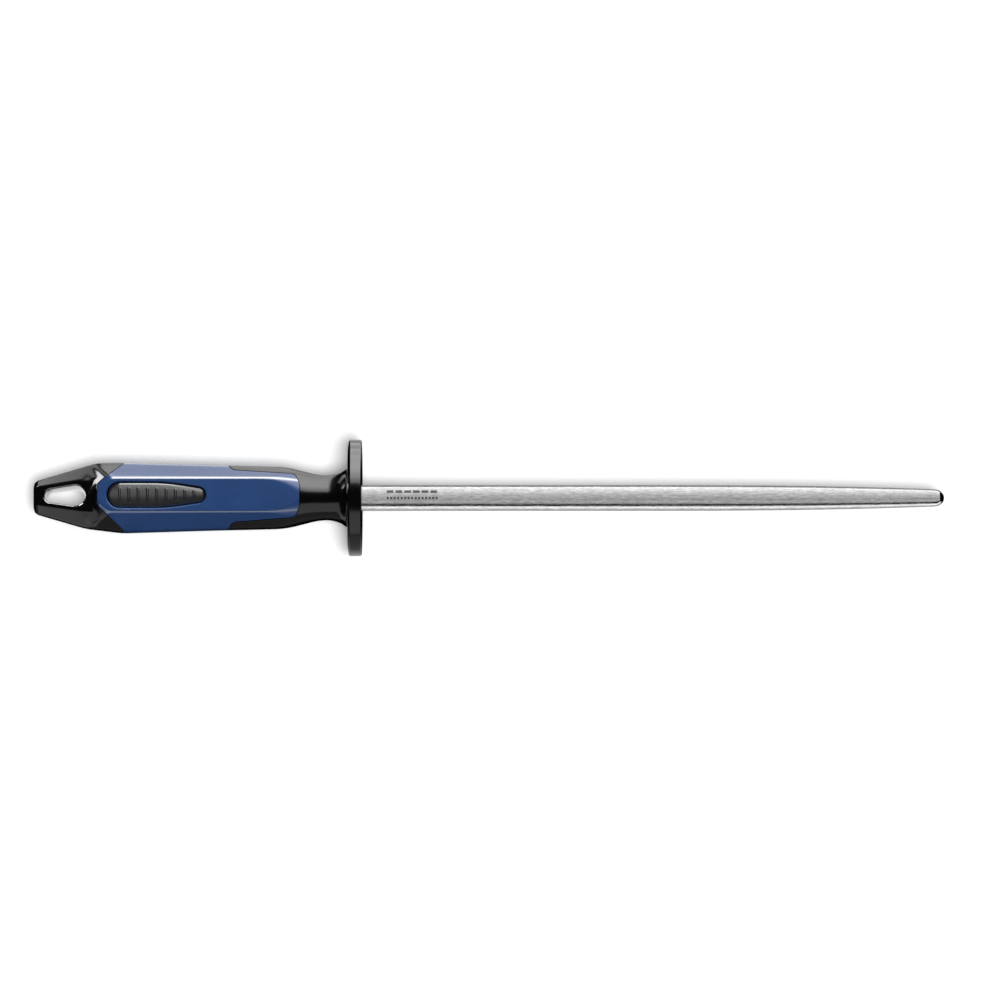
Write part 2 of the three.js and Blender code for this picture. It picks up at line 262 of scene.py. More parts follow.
def around(x, radius, angles, slope=0):
    """A ring about X and its normals, leaning towards +X by the slope."""
    radius = np.broadcast_to(radius, angles.shape)
    x = np.broadcast_to(x, angles.shape)
    points = np.stack([x, radius * np.cos(angles), radius * np.sin(angles)], -1)
    lean = np.full(angles.shape, math.sin(slope))
    out = math.cos(slope)
    return points, np.stack([lean, out * np.cos(angles), out * np.sin(angles)], -1)


def clip(xs, angles, field):
    """The part of a grid over x and the angle about X where the field is under 0.

    Returns the x and the angle of each point, faces that turn outwards, the rim's directed edges,
    and the number of each point on the rim by the grid edge that it cuts.
    """
    columns = len(angles)
    step = FULL_TURN / columns
    inside = field < 0
    number = np.full(field.shape, -1)
    number[inside] = np.arange(inside.sum())
    point_x = list(np.broadcast_to(xs[:, None], field.shape)[inside])
    point_angle = list(np.broadcast_to(angles[None, :], field.shape)[inside])
    cuts = {}

    def cut(a, b):
        key = (min(a, b), max(a, b))
        if key not in cuts:
            a, b = key
            share = field[a] / (field[a] - field[b])
            turn = b[1] - a[1]
            if abs(turn) > 1:
                turn = -1 if turn > 0 else 1
            point_x.append(xs[a[0]] + (xs[b[0]] - xs[a[0]]) * share)
            point_angle.append(angles[a[1]] + turn * step * share)
            cuts[key] = len(point_x) - 1
        return cuts[key]

    faces = []
    rim = []
    after = np.roll(number, -1, axis=1)
    whole = (number[:-1] >= 0) & (after[:-1] >= 0) & (after[1:] >= 0) & (number[1:] >= 0)
    some = (number[:-1] >= 0) | (after[:-1] >= 0) | (after[1:] >= 0) | (number[1:] >= 0)
    for i, j in zip(*np.nonzero(whole)):
        faces.append((number[i, j], after[i, j], after[i + 1, j], number[i + 1, j]))
    for i, j in zip(*np.nonzero(some & ~whole)):
        i, j = int(i), int(j)
        beside = (j + 1) % columns
        cell = [(i, j), (i, beside), (i + 1, beside), (i + 1, j)]
        outline = []
        leaving = None
        entering = None
        for a, b in zip(cell, cell[1:] + cell[:1]):
            if inside[a]:
                outline.append(number[a])
            if inside[a] != inside[b]:
                outline.append(cut(a, b))
                if inside[a]:
                    leaving = outline[-1]
                else:
                    entering = outline[-1]
        faces.append(tuple(outline))
        rim.append((leaving, entering))
    return np.array(point_x), np.array(point_angle), faces, rim, cuts


# ---------- plan outlines ----------


def distance_to(outline, x, y):
    """Signed distance in plan from a closed outline, less than 0 inside it."""
    point = np.stack([x, y], -1)
    nearest = np.full(x.shape, np.inf)
    crossings = np.zeros(x.shape, int)
    for start, end in zip(outline, np.roll(outline, -1, axis=0)):
        edge = end - start
        share = np.clip(((point - start) @ edge) / (edge @ edge), 0, 1)
        nearest = np.minimum(nearest, np.linalg.norm(point - start - share[..., None] * edge, axis=-1))
        if start[1] != end[1]:
            spans = (start[1] > y) != (end[1] > y)
            meets = start[0] + (y - start[1]) * edge[0] / edge[1]
            crossings += spans & (x < meets)
    return np.where(crossings % 2 == 1, -nearest, nearest)


def rounded(corner_list):
    """A closed outline from (x, y, setback) corners, each rounded from its setback on."""
    corner_list = np.array(corner_list, float)
    places = corner_list[:, :2]
    outline = []
    for place, before, after, setback in zip(
        places, np.roll(places, 1, axis=0), np.roll(places, -1, axis=0), corner_list[:, 2]
    ):
        to_before = before - place
        to_after = after - place
        reach = min(setback, 0.48 * np.linalg.norm(to_before), 0.48 * np.linalg.norm(to_after))
        start = place + to_before * reach / np.linalg.norm(to_before)
        end = place + to_after * reach / np.linalg.norm(to_after)
        for share in np.linspace(0, 1, ROUND_STEPS):
            outline.append(
                start * (1 - share) ** 2 + place * 2 * share * (1 - share) + end * share**2
            )
    return np.array(outline)


def grip_outline():
    """The plan of what the grip shell covers: a wrap in the middle and a tongue to each end."""
    # Each corner of one side is (x, y, setback of its rounding).
    half = [
        (SHOULDER, 4.7, 1.6),
        (SHOULDER + 3.7, 7.9, 1.6),
        (WRAP_BACK - 0.4, 14.6, 1),
        (WRAP_BACK + 1.2, BEYOND_HANDLE, 0.5),
        (WRAP_FRONT - 0.6, BEYOND_HANDLE, 0.5),
        (WRAP_FRONT, 13.4, 1.2),
        (WRAP_FRONT + 2, 11.4, 2.4),
        (PANEL_FRONT - 2, 9.5, 2),
        (PANEL_FRONT, 5, 2),
    ]
    return rounded(half + [(x, -y, setback) for x, y, setback in reversed(half)])


def badge_outline():
    """The badge's plan: a round back end, long sides that draw in, and a round nose."""
    back_turn = np.linspace(math.pi / 2, math.pi, 24)
    back = np.stack([
        BADGE_BACK + BADGE_BACK_RADIUS * np.cos(back_turn),
        BADGE_BACK_RADIUS * np.sin(back_turn),
    ], -1)[::-1]
    flank = np.stack([
        np.linspace(BADGE_BACK, BADGE_WAIST, 60)[1:],
        np.full(59, BADGE_BACK_RADIUS),
    ], -1)
    share = np.linspace(0, 1, 90)[1:, None]
    handles = np.array([
        (BADGE_WAIST, BADGE_BACK_RADIUS),
        (BADGE_WAIST + BADGE_HANDLE, BADGE_BACK_RADIUS),
        (BADGE_FRONT - BADGE_HANDLE, BADGE_FRONT_RADIUS + BADGE_HANDLE_RISE),
        (BADGE_FRONT, BADGE_FRONT_RADIUS),
    ])
    draw_in = (
        handles[0] * (1 - share) ** 3
        + handles[1] * 3 * share * (1 - share) ** 2
        + handles[2] * 3 * share**2 * (1 - share)
        + handles[3] * share**3
    )
    front_turn = np.linspace(math.pi / 2, 0, 18)[1:]
    front = np.stack([
        BADGE_FRONT + BADGE_FRONT_RADIUS * np.cos(front_turn),
        BADGE_FRONT_RADIUS * np.sin(front_turn),
    ], -1)
    half = np.concatenate([back, flank, draw_in, front])
    return np.concatenate([half, (half * (1, -1))[-2:0:-1]])


def distance_to_hole(x, y):
    """Signed distance in plan from the hanging hole, the hull of its two circles."""
    span = HOLE_LARGE - HOLE_SMALL
    lean = (HOLE_LARGE_RADIUS - HOLE_SMALL_RADIUS) / span
    upright = math.sqrt(1 - lean**2)
    along = HOLE_LARGE - x
    across = np.abs(y)
    side = -lean * across + upright * along
    to_large = np.hypot(along, across) - HOLE_LARGE_RADIUS
    to_small = np.hypot(along - span, across) - HOLE_SMALL_RADIUS
    to_side = upright * across + lean * along - HOLE_LARGE_RADIUS
    return np.where(side < 0, to_large, np.where(side > upright * span, to_small, to_side))


GRIP = grip_outline()
BADGE = badge_outline()


# ---------- the handle's skin ----------


def spline(knots, count=120):
    """A Catmull-Rom curve through the knots, as x and value arrays."""
    knots = np.array(knots, float)
    ends = np.vstack([knots[0], knots, knots[-1]])
    place = np.linspace(0, len(knots) - 1, count + 1)
    first = np.minimum(place.astype(int), len(knots) - 2)
    share = (place - first)[:, None]
    a, b, c, d = (ends[first + k] for k in range(4))
    slope_b = (c - a) / 2
    slope_c = (d - b) / 2
    cubic = (2 * b - 2 * c + slope_b + slope_c) * share**3
    square = (-3 * b + 3 * c - 2 * slope_b - slope_c) * share**2
    curve = cubic + square + slope_b * share + b
    return curve[:, 0], curve[:, 1]


NECK_CURVE = spline(NECK)


def softened(line, x, reach):
    """A broken line's height at x, with its kinks eased over a reach to both sides."""
    places, values = zip(*line)
    shifts = np.linspace(-reach, reach, 9)
    return sum(np.interp(x + shift, places, values) for shift in shifts) / len(shifts)


def sides(angle, half_width, facet, inset, flat, height, ridge):
    """What the sides of an octagon with facets allow at an angle: 1 over the radius, for each."""
    across = np.abs(np.cos(angle))
    up = np.abs(np.sin(angle))
    slope = (height - ridge) / (half_width - flat)
    return np.stack(np.broadcast_arrays(
        up / (height - inset),
        across / (half_width - inset),
        (slope * across + up) / (slope * flat + height - inset * np.hypot(slope, 1)),
        (FACET_SIDE * across + FACET_UP * up) / (facet - inset),
    ))


def octagon(angle, half_width, facet, neck, inset, **section):
    """Radius of a rounded octagon at an angle, set in by a distance from every side."""
    limits = sides(angle, half_width, facet, inset, **section)
    total = (limits**CORNER_SHARPNESS).sum(0) + (neck - inset) ** -float(CORNER_SHARPNESS)
    return total ** (-1 / CORNER_SHARPNESS)


def shoulder_share(x):
    """1 on the handle's body, falling to 0 on the tab."""
    shifts = np.linspace(-SHOULDER_SOFTNESS, SHOULDER_SOFTNESS, 15)
    falls = (np.clip(1 - (SHOULDER - x - shift) / SHOULDER_LENGTH, 0, 1) ** SHOULDER_EASE for shift in shifts)
    return sum(falls) / len(shifts)


def facet_reach(x):
    """The distance from the axis to a corner facet's plane, in the section at x."""
    return np.maximum(FACET_REACH + FACET_BACK * (x - SHOULDER), FACET_LEAST)


def width_at(x, angle):
    """Half the handle's width on the side that an angle is on."""
    far = softened(EDGE_FAR, x - HANDLE_END, EDGE_SOFTNESS)
    near = softened(EDGE_NEAR, x - HANDLE_END, EDGE_SOFTNESS)
    return np.where(np.cos(angle) > 0, far, near)


def skin_edge(x, angle):
    """1 on the body's long edges, where two sides meet, and 0 away from them."""
    limits = sides(angle, width_at(x, angle), facet_reach(x), 0, **BODY) ** CORNER_SHARPNESS
    share = limits.max(0) / limits.sum(0)
    return np.clip(3 - 3 * share, 0, 1)


def skin_point(x, angle, inset=0.0):
    """Points of the handle's skin, set in by a distance."""
    half_width = width_at(x, angle)
    neck = np.interp(NECK_FACE - x, *NECK_CURVE)
    body = octagon(angle, half_width, facet_reach(x), neck, inset, **BODY)
    back = np.clip((SHOULDER - x) / (SHOULDER - HANDLE_END), 0, 1)
    ends = (0, 1)
    tab = octagon(
        angle, half_width, NO_FACET, neck, inset,
        flat=np.interp(back, ends, TAB_FLAT),
        height=np.interp(back, ends, TAB_HEIGHT),
        ridge=np.interp(back, ends, TAB_RIDGE),
    )
    to_end = np.clip(x - HANDLE_END, 0, END_ROUNDING)
    rounding = END_ROUNDING - np.sqrt(END_ROUNDING**2 - (END_ROUNDING - to_end) ** 2)
    radius = tab + (body - tab) * shoulder_share(x) - rounding
    return np.stack([x, radius * np.cos(angle), radius * np.sin(angle)], -1)


def skin_normal(x, angle, inset=0.0):
    """Outward normals of the handle's skin."""
    dx = 0.02
    turn = 0.002
    along = skin_point(x + dx, angle, inset) - skin_point(x - dx, angle, inset)
    about = skin_point(x, angle + turn, inset) - skin_point(x, angle - turn, inset)
    return unit(np.cross(about, along))


def stations(*stretches):
    """X places over (start, end, count) stretches, with the last end."""
    parts = [np.linspace(start, end, count, endpoint=False) for start, end, count in stretches]
    return np.concatenate([*parts, [stretches[-1][1]]])


SKIN_SIDES = 248
SKIN_ANGLES = (np.arange(SKIN_SIDES) + 0.5) * FULL_TURN / SKIN_SIDES
SKIN_X = stations(
    (HANDLE_END, HANDLE_END + END_ROUNDING, 12),
    (HANDLE_END + END_ROUNDING, SHOULDER - SHOULDER_LENGTH, 30),
    (SHOULDER - SHOULDER_LENGTH, SHOULDER + 3, 44),
    (SHOULDER + 3, WRAP_FRONT - 2, 78),
    (WRAP_FRONT - 2, PANEL_FRONT + 1, 62),
    (PANEL_FRONT + 1, NECK_FACE, 34),
)
SKIN_GRID = skin_point(*np.meshgrid(SKIN_X, SKIN_ANGLES, indexing="ij"))


def back_lip(x):
    """How far the shell's edge is rounded: more where its tongue ends at the shoulder."""
    near_end = np.clip((SHOULDER + BACK_LIP_LENGTH - x) / BACK_LIP_LENGTH, 0, 1)
    return SEAM_ROUNDING + BACK_LIP_EXTRA * near_end


def shell_field(x, y, z):
    """Under 0 on the flat top of the grip shell, inside the rounding of its edges."""
    inside_grip = distance_to(GRIP, x, y) + SEAM / 2 + back_lip(x)
    window = WINDOW_GAP + WINDOW_ROUNDING - distance_to(BADGE, x, y)
    return np.where(z > 0, np.maximum(inside_grip, window), inside_grip)


def covered_field(x, y, z):
    """Under 0 where the grip shell covers the core."""
    return distance_to(GRIP, x, y) - SEAM / 2 - SEAM_ROUNDING


def exposed_field(x, y, z):
    """Under 0 where the core shows, inside the rounding of its edges."""
    return np.maximum(-covered_field(x, y, z), HOLE_ROUNDING - distance_to_hole(x, y))


def outwards(field, points, normals):
    """Directions along the skin in which a plan field rises."""
    x, y, z = points.T
    d = 0.02
    slope = np.stack([
        field(x + d, y, z) - field(x - d, y, z),
        field(x, y + d, z) - field(x, y - d, z),
        np.zeros(len(x)),
    ], -1)
    slope -= normals * (slope * normals).sum(-1, keepdims=True)
    return unit(slope)


def lip(surface, points, normals, out, radius, rim, edge):
    """Rounds a rim over, from the skin down to where it faces outwards. Returns the last row."""
    before = surface.add(points, normals, edge)
    radius = np.broadcast_to(radius, len(points))[:, None]
    for turn in np.linspace(0, math.pi / 2, ROUND_STEPS)[1:]:
        place = points + out * radius * math.sin(turn) - normals * radius * (1 - math.cos(turn))
        row = surface.add(place, normals * math.cos(turn) + out * math.sin(turn), edge)
        surface.bridge(before, row, rim)
        before = row
    return before


def renumbered(rim, numbers):
    """The rim's edges as places in a row that holds only the rim's points."""
    place = {int(number): i for i, number in enumerate(numbers)}
    return [(place[int(a)], place[int(b)]) for a, b in rim]


def make_shell(material):
    surface = Surface()
    x, angle, faces, rim, _ = clip(SKIN_X, SKIN_ANGLES, shell_field(*np.moveaxis(SKIN_GRID, -1, 0)))
    outer = surface.add(skin_point(x, angle), skin_normal(x, angle), skin_edge(x, angle))
    inner = surface.add(
        skin_point(x, angle, SHELL_THICKNESS), -skin_normal(x, angle, SHELL_THICKNESS)
    )
    surface.faces += [outer[list(face)] for face in faces]
    surface.faces += [inner[list(face)[::-1]] for face in faces]
    edge = np.unique(rim)
    points = skin_point(x[edge], angle[edge])
    normals = skin_normal(x[edge], angle[edge])
    out = outwards(shell_field, points, normals)
    by_window = distance_to(BADGE, *points[:, :2].T) < WINDOW_GAP + WINDOW_ROUNDING + NEAR_RIM
    by_window &= points[:, 2] > 0
    radius = np.where(by_window, WINDOW_ROUNDING, back_lip(points[:, 0]))
    pairs = renumbered(rim, edge)
    shine = np.where(by_window, 0, np.maximum(skin_edge(x[edge], angle[edge]), LIP_SHINE))
    low = lip(surface, points, normals, out, radius, pairs, shine)
    wall = surface.add(np.concatenate(surface.points)[low], out)
    foot = surface.add(skin_point(x[edge], angle[edge], SHELL_THICKNESS), out)
    surface.bridge(wall, foot, pairs)
    return surface.build("grip_shell_moulding", material, "grip_shell")


def tang_half(x):
    """Half the tang's width at x, less at its notches and towards its end."""
    half = TANG_HALF
    for centre in NOTCHES:
        reach = (NOTCH_LENGTH / 2 - np.abs(x - centre)) / NOTCH_SLOPE
        half = half - NOTCH_DEPTH * np.clip(reach, 0, 1)
    return half


def tang_rings(angles, clearance, flip):
    """Rings along the tang from its root to its end, and their normals."""
    end = STEEL_LOW.x - clearance
    places = [STEEL_ROOT]
    for centre in NOTCHES:
        reach = NOTCH_LENGTH / 2
        places += [centre + reach, centre + reach - NOTCH_SLOPE]
        places += [centre - reach + NOTCH_SLOPE, centre - reach]
    places += [end + TANG_POINT_LENGTH, end]
    across = np.abs(np.cos(angles))
    up = np.abs(np.sin(angles))
    rings = []
    for x in places:
        half_y = tang_half(x) + clearance - (TANG_POINT_INSET if x == end else 0)
        half_z = TANG_HALF + clearance
        to_side = half_y / np.maximum(across, LEAST_SHARE)
        to_top = half_z / np.maximum(up, LEAST_SHARE)
        radius = np.minimum(to_side, to_top)
        on_side = to_side < to_top
        points, _ = around(x, radius, angles)
        normals = np.stack([
            np.zeros(len(angles)),
            np.where(on_side, np.sign(np.cos(angles)), 0),
            np.where(on_side, 0, np.sign(np.sin(angles))),
        ], -1)
        rings.append((points, -normals if flip else normals))
    return rings


def make_core(material):
    surface = Surface()
    grid = np.moveaxis(SKIN_GRID, -1, 0)
    x, angle, faces, rim, cuts = clip(SKIN_X, SKIN_ANGLES, exposed_field(*grid))
    shown = surface.add(skin_point(x, angle), skin_normal(x, angle))
    surface.faces += [shown[list(face)] for face in faces]
    edge = np.unique(rim)
    points = skin_point(x[edge], angle[edge])
    normals = skin_normal(x[edge], angle[edge])
    out = outwards(exposed_field, points, normals)
    by_hole = distance_to_hole(*points[:, :2].T) < HOLE_ROUNDING + NEAR_RIM
    pairs = renumbered(rim, edge)
    hole_pairs = [pair for pair in pairs if by_hole[pair[0]]]
    seam_pairs = [pair for pair in pairs if not by_hole[pair[0]]]
    radius = np.where(by_hole, HOLE_ROUNDING, SEAM_ROUNDING)
    low = lip(surface, points, normals, out, radius, pairs, by_hole)
    low_points = np.concatenate(surface.points)[low]
    level = unit(out * (1, 1, 0))
    waist_inset = np.interp(points[:, 0], (HOLE_SMALL - 2, HOLE_SMALL + 1), (HOLE_END_WAIST, HOLE_WAIST))
    draft = np.where(by_hole, waist_inset / np.abs(low_points[:, 2]), 0)
    lean = draft * np.sign(low_points[:, 2])
    wall_normals = np.where(by_hole[:, None], unit(level + np.outer(lean, (0, 0, 1))), out)
    wall = surface.add(low_points, wall_normals)
    waist = surface.add(low_points * (1, 1, 0) + level * waist_inset[:, None], level)

    # The skin under the shell shares its edge with the shown skin.
    x2, angle2, faces2, _, cuts2 = clip(SKIN_X, SKIN_ANGLES, covered_field(*grid))
    under = surface.add(
        skin_point(x2, angle2, COVERED_DEPTH), skin_normal(x2, angle2, COVERED_DEPTH)
    )
    surface.faces += [under[list(face)] for face in faces2]
    place = {int(number): i for i, number in enumerate(edge)}
    partner = {place[cuts[key]]: under[cuts2[key]] for key in cuts if key in cuts2}
    for a, b in seam_pairs:
        surface.faces.append((wall[b], wall[a], partner[a], partner[b]))

    # The hole's wall runs from the rim above, by a narrower waist, to the mirrored rim below.
    mirror = {}
    for (a, b), number in cuts.items():
        flipped = [(i, SKIN_SIDES - 1 - j) for i, j in (a, b)]
        key = (min(flipped), max(flipped))
        if key in cuts:
            mirror[place[number]] = place[cuts[key]]
    for a, b in hole_pairs:
        if points[a, 2] > 0:
            surface.faces.append((wall[b], wall[a], waist[a], waist[b]))
            surface.faces.append((waist[b], waist[a], wall[mirror[a]], wall[mirror[b]]))

    # The end of the tab.
    last = [int(shown[i]) for i in range(SKIN_SIDES)]
    surface.fan(last[::-1], (HANDLE_END, 0, 0), (-1, 0, 0))

    # The neck's front face, the spigot, the bore for the steel and the cavity for the tang.
    angles = SKIN_ANGLES
    neck_radius = NECK[0][1]
    bore = STEEL_RADIUS + CLEARANCE
    spigot_end = CORE_HIGH.x
    front = math.pi / 2
    surface.rings([
        around(NECK_FACE, neck_radius, angles, front), around(NECK_FACE, SPIGOT_RADIUS, angles, front),
    ])
    surface.rings([
        around(NECK_FACE, SPIGOT_RADIUS, angles), around(spigot_end, SPIGOT_RADIUS, angles),
    ])
    surface.rings([
        around(spigot_end, SPIGOT_RADIUS, angles, front), around(spigot_end, bore, angles, front),
    ])
    surface.rings([
        around(spigot_end, bore, angles, math.pi), around(STEEL_ROOT - CLEARANCE, bore, angles, math.pi),
    ])
    cavity = tang_rings(angles, CLEARANCE, flip=True)
    mouth = (cavity[0][0] - (CLEARANCE, 0, 0), np.tile((1.0, 0, 0), (SKIN_SIDES, 1)))
    surface.rings([around(STEEL_ROOT - CLEARANCE, bore, angles, front), mouth])
    cavity[0] = (mouth[0], cavity[0][1])
    numbers = surface.rings(cavity)
    surface.fan(list(numbers[-1]), (STEEL_LOW.x - CLEARANCE, 0, 0), (1, 0, 0))
    return surface.build("handle_core_moulding", material, "handle_core")


# ---------- the other pieces ----------


def arc(centre_x, centre_radius, radius, start, end):
    """Profile points (x, radius, slope) round a quarter, by the slope of the surface there."""
    return [
        (centre_x + radius * math.sin(slope), centre_radius + radius * math.cos(slope), slope)
        for slope in np.linspace(start, end, ROUND_STEPS + 2)
    ]


def make_guard(material):
    bore = STEEL_RADIUS + CLEARANCE
    socket = SPIGOT_RADIUS + CLEARANCE
    front = math.pi / 2
    back_x = GUARD_LOW.x
    front_x = GUARD_HIGH.x
    rim = GUARD_RADIUS - GUARD_ROUNDING
    falling = GUARD_RADIUS - GUARD_FLAT_RADIUS
    fall = math.atan(GUARD_FRONT_FALL / falling)
    back_fall = math.atan(GUARD_BACK_FALL / falling)
    ease = 0.5
    stretches = [
        [(front_x - GUARD_WEB, socket, -front), (front_x - GUARD_WEB, bore, -front)],
        [(front_x - GUARD_WEB, bore, math.pi), (front_x - ease, bore, math.pi)],
        [*arc(front_x - ease, bore + ease, ease, math.pi, front)],
        [
            (front_x, bore + ease, front),
            *[(front_x, radius, front) for radius in GUARD_RINGS],
            (front_x, GUARD_FLAT_RADIUS - 1, front),
            (front_x - 0.03, GUARD_FLAT_RADIUS + 1, front - fall / 2),
            (front_x - 0.03 - fall * 2, GUARD_FLAT_RADIUS + 3, front - fall),
            *arc(front_x - GUARD_FRONT_FALL - GUARD_ROUNDING, rim, GUARD_ROUNDING, front - fall, 0),
            *arc(back_x + GUARD_BACK_FALL + GUARD_ROUNDING, rim, GUARD_ROUNDING, 0, back_fall - front),
            (back_x + 0.03 + back_fall * 2, GUARD_FLAT_RADIUS + 3, back_fall - front),
            (back_x + 0.03, GUARD_FLAT_RADIUS + 1, back_fall / 2 - front),
            (back_x, GUARD_FLAT_RADIUS - 1, -front),
            *[(back_x, radius, -front) for radius in reversed(GUARD_RINGS)],
            (back_x, socket, -front),
        ],
        [(back_x, socket, math.pi), (front_x - GUARD_WEB, socket, math.pi)],
    ]
    angles = np.arange(GUARD_SIDES) * FULL_TURN / GUARD_SIDES
    surface = Surface()
    for stretch in stretches:
        surface.rings([around(x, radius, angles, slope) for x, radius, slope in reversed(stretch)])
    return surface.build("hand_guard_moulding", material, "hand_guard")


def make_steel(material):
    random = np.random.default_rng(GROOVE_SEED)
    columns = GROOVE_COUNT * GROOVE_SIDES
    angles = np.arange(columns) * FULL_TURN / columns
    straight = STEEL_HIGH.x - NOSE_LENGTH
    places = stations((0, STEEL_PARALLEL, 60), (STEEL_PARALLEL, straight, 70))
    share = np.clip((places - STEEL_PARALLEL) / (straight - STEEL_PARALLEL), 0, 1)
    radii = STEEL_RADIUS - (STEEL_RADIUS - TIP_RADIUS) * share**TAPER_POWER
    slopes = -np.gradient(radii, places)
    wave = 0.5 - 0.5 * np.cos(angles * GROOVE_COUNT)
    wave_slope = np.sin(angles * GROOVE_COUNT) * GROOVE_COUNT / 2
    strength = np.repeat(random.uniform(0.35, 1, GROOVE_COUNT), GROOVE_SIDES)
    drift = np.cumsum(random.normal(0, 0.12, (len(places), GROOVE_COUNT)), axis=0)
    drift = np.repeat(np.clip(0.8 + drift - drift.mean(0), 0.25, 1.2), GROOVE_SIDES, axis=1)
    ease = np.clip((straight - places) / GROOVE_FADE, 0, 1)
    surface = Surface()
    rings = [
        around(STEEL_ROOT, STEEL_RADIUS, angles),
        around(-0.5, STEEL_RADIUS, angles),
    ]
    for x, radius, slope, wander, fade in zip(places, radii, slopes, drift, ease):
        depth = GROOVE_DEPTH * strength * wander * fade
        cut = radius - depth * wave
        points, normals = around(x, cut, angles)
        about = np.stack([np.zeros(columns), -np.sin(angles), np.cos(angles)], -1)
        normals = normals + about * (depth * wave_slope / radius)[:, None]
        normals[:, 0] += slope
        rings.append((points, unit(normals)))
    for turn in np.linspace(0, math.pi / 2, 22)[1:-1]:
        x = straight + NOSE_LENGTH * math.sin(turn)
        radius = TIP_RADIUS * math.cos(turn)
        lean = math.atan2(TIP_RADIUS * math.sin(turn), NOSE_LENGTH * math.cos(turn))
        rings.append(around(x, radius, angles, lean))
    numbers = surface.rings(rings)
    surface.fan(list(numbers[-1]), (STEEL_HIGH.x, 0, 0), (1, 0, 0))
    tang = tang_rings(angles[::GROOVE_SIDES], 0, flip=False)
    root = around(STEEL_ROOT, STEEL_RADIUS, angles[::GROOVE_SIDES], -math.pi / 2)
    surface.rings([(tang[0][0], root[1]), root])
    numbers = surface.rings(tang[::-1])
    surface.fan(list(numbers[0])[::-1], (STEEL_LOW.x, 0, 0), (-1, 0, 0))
    return surface.build("steel_rod_ground", material, "steel_rod")


def rib_height(x, y):
    """The height of the thumb ribs over the badge, which get shorter towards its nose."""
    height = np.zeros(np.broadcast(x, y).shape)
    for i in range(RIB_COUNT):
        narrowing = (i / (RIB_COUNT - 1)) ** 2
        wide = BADGE_BACK_RADIUS - RIB_MARGIN_BACK
        half_length = wide + (BADGE_FRONT_RADIUS - RIB_MARGIN_FRONT - wide) * narrowing
        centre = BADGE_BACK - RIB_START + i * RIB_PITCH
        beyond = np.maximum(np.abs(y) - half_length + RIB_THICKNESS / 2, 0)
        away = np.hypot(x - centre, beyond) / (RIB_THICKNESS / 2)
        height = np.maximum(height, RIB_RISE * np.clip(1 - away**RIB_FULLNESS, 0, 1))
    return height


def make_badge(material):
    """Rings from the badge's outline in to its spine, with a rounded edge and ribs on top."""
    count = len(BADGE)
    spine = np.stack([np.clip(BADGE[:, 0], BADGE_BACK, BADGE_FRONT), np.zeros(count)], -1)
    reach = np.linalg.norm(BADGE - spine, axis=1)
    foot = BADGE_LOW.z
    top = BADGE_HIGH.z - RIB_RISE
    shares = 1 - np.concatenate([
        1 - np.cos(np.linspace(0, math.pi / 2, 9)[1:]) * 0.22 - 0.78,
        np.linspace(0.22, 1, 30)[1:],
    ])

    def height(x, y, share):
        inwards = np.clip(reach * (1 - share), 0, BADGE_ROUNDING)
        edge = BADGE_ROUNDING - np.sqrt(BADGE_ROUNDING**2 - (BADGE_ROUNDING - inwards) ** 2)
        return top - edge - BADGE_CROWN * share**2 + rib_height(x, y)

    def place(share):
        plan = spine + (BADGE - spine) * share
        return np.column_stack([plan, height(plan[:, 0], plan[:, 1], share)])

    out = unit(np.column_stack([BADGE - spine, np.zeros(count)]))
    rows = [
        np.column_stack([BADGE, np.full(count, foot)]),
        np.column_stack([BADGE, np.full(count, top - BADGE_ROUNDING - BADGE_CROWN)]),
    ]
    tops = [place(share) for share in shares]
    surface = Surface()
    side_rows = [(row, out) for row in rows]
    surface.rings(side_rows[::-1])
    shine = np.interp([1, *shares], (0.8, 0.95), (0, 1))
    grid = np.stack([rows[1], *tops])
    along = np.roll(grid, -1, axis=1) - np.roll(grid, 1, axis=1)
    inward = np.gradient(grid, axis=0)
    normals = np.cross(along, inward)
    normals = unit(np.where(normals[..., 2:] < 0, -normals, normals) + (0, 0, 1e-9))
    normals[0] = out
    surface.rings(list(zip(grid, normals, shine))[::-1])
    base = surface.add(rows[0], np.tile((0, 0, -1.0), (count, 1)))
    line = surface.add(np.column_stack([spine, np.full(count, foot)]), np.tile((0, 0, -1.0), (count, 1)))
    surface.bridge(base, line, [((i + 1) % count, i) for i in range(count)])
    return surface.build("badge_insert_moulding", material, "badge_insert")


# ---------- materials ----------


def linear(red, green, blue):
    """An sRGB colour, 0 to 255, as the linear colour that a shader takes."""
    return tuple(((c / 255 + 0.055) / 1.055) ** 2.4 for c in (red, green, blue)) + (1,)


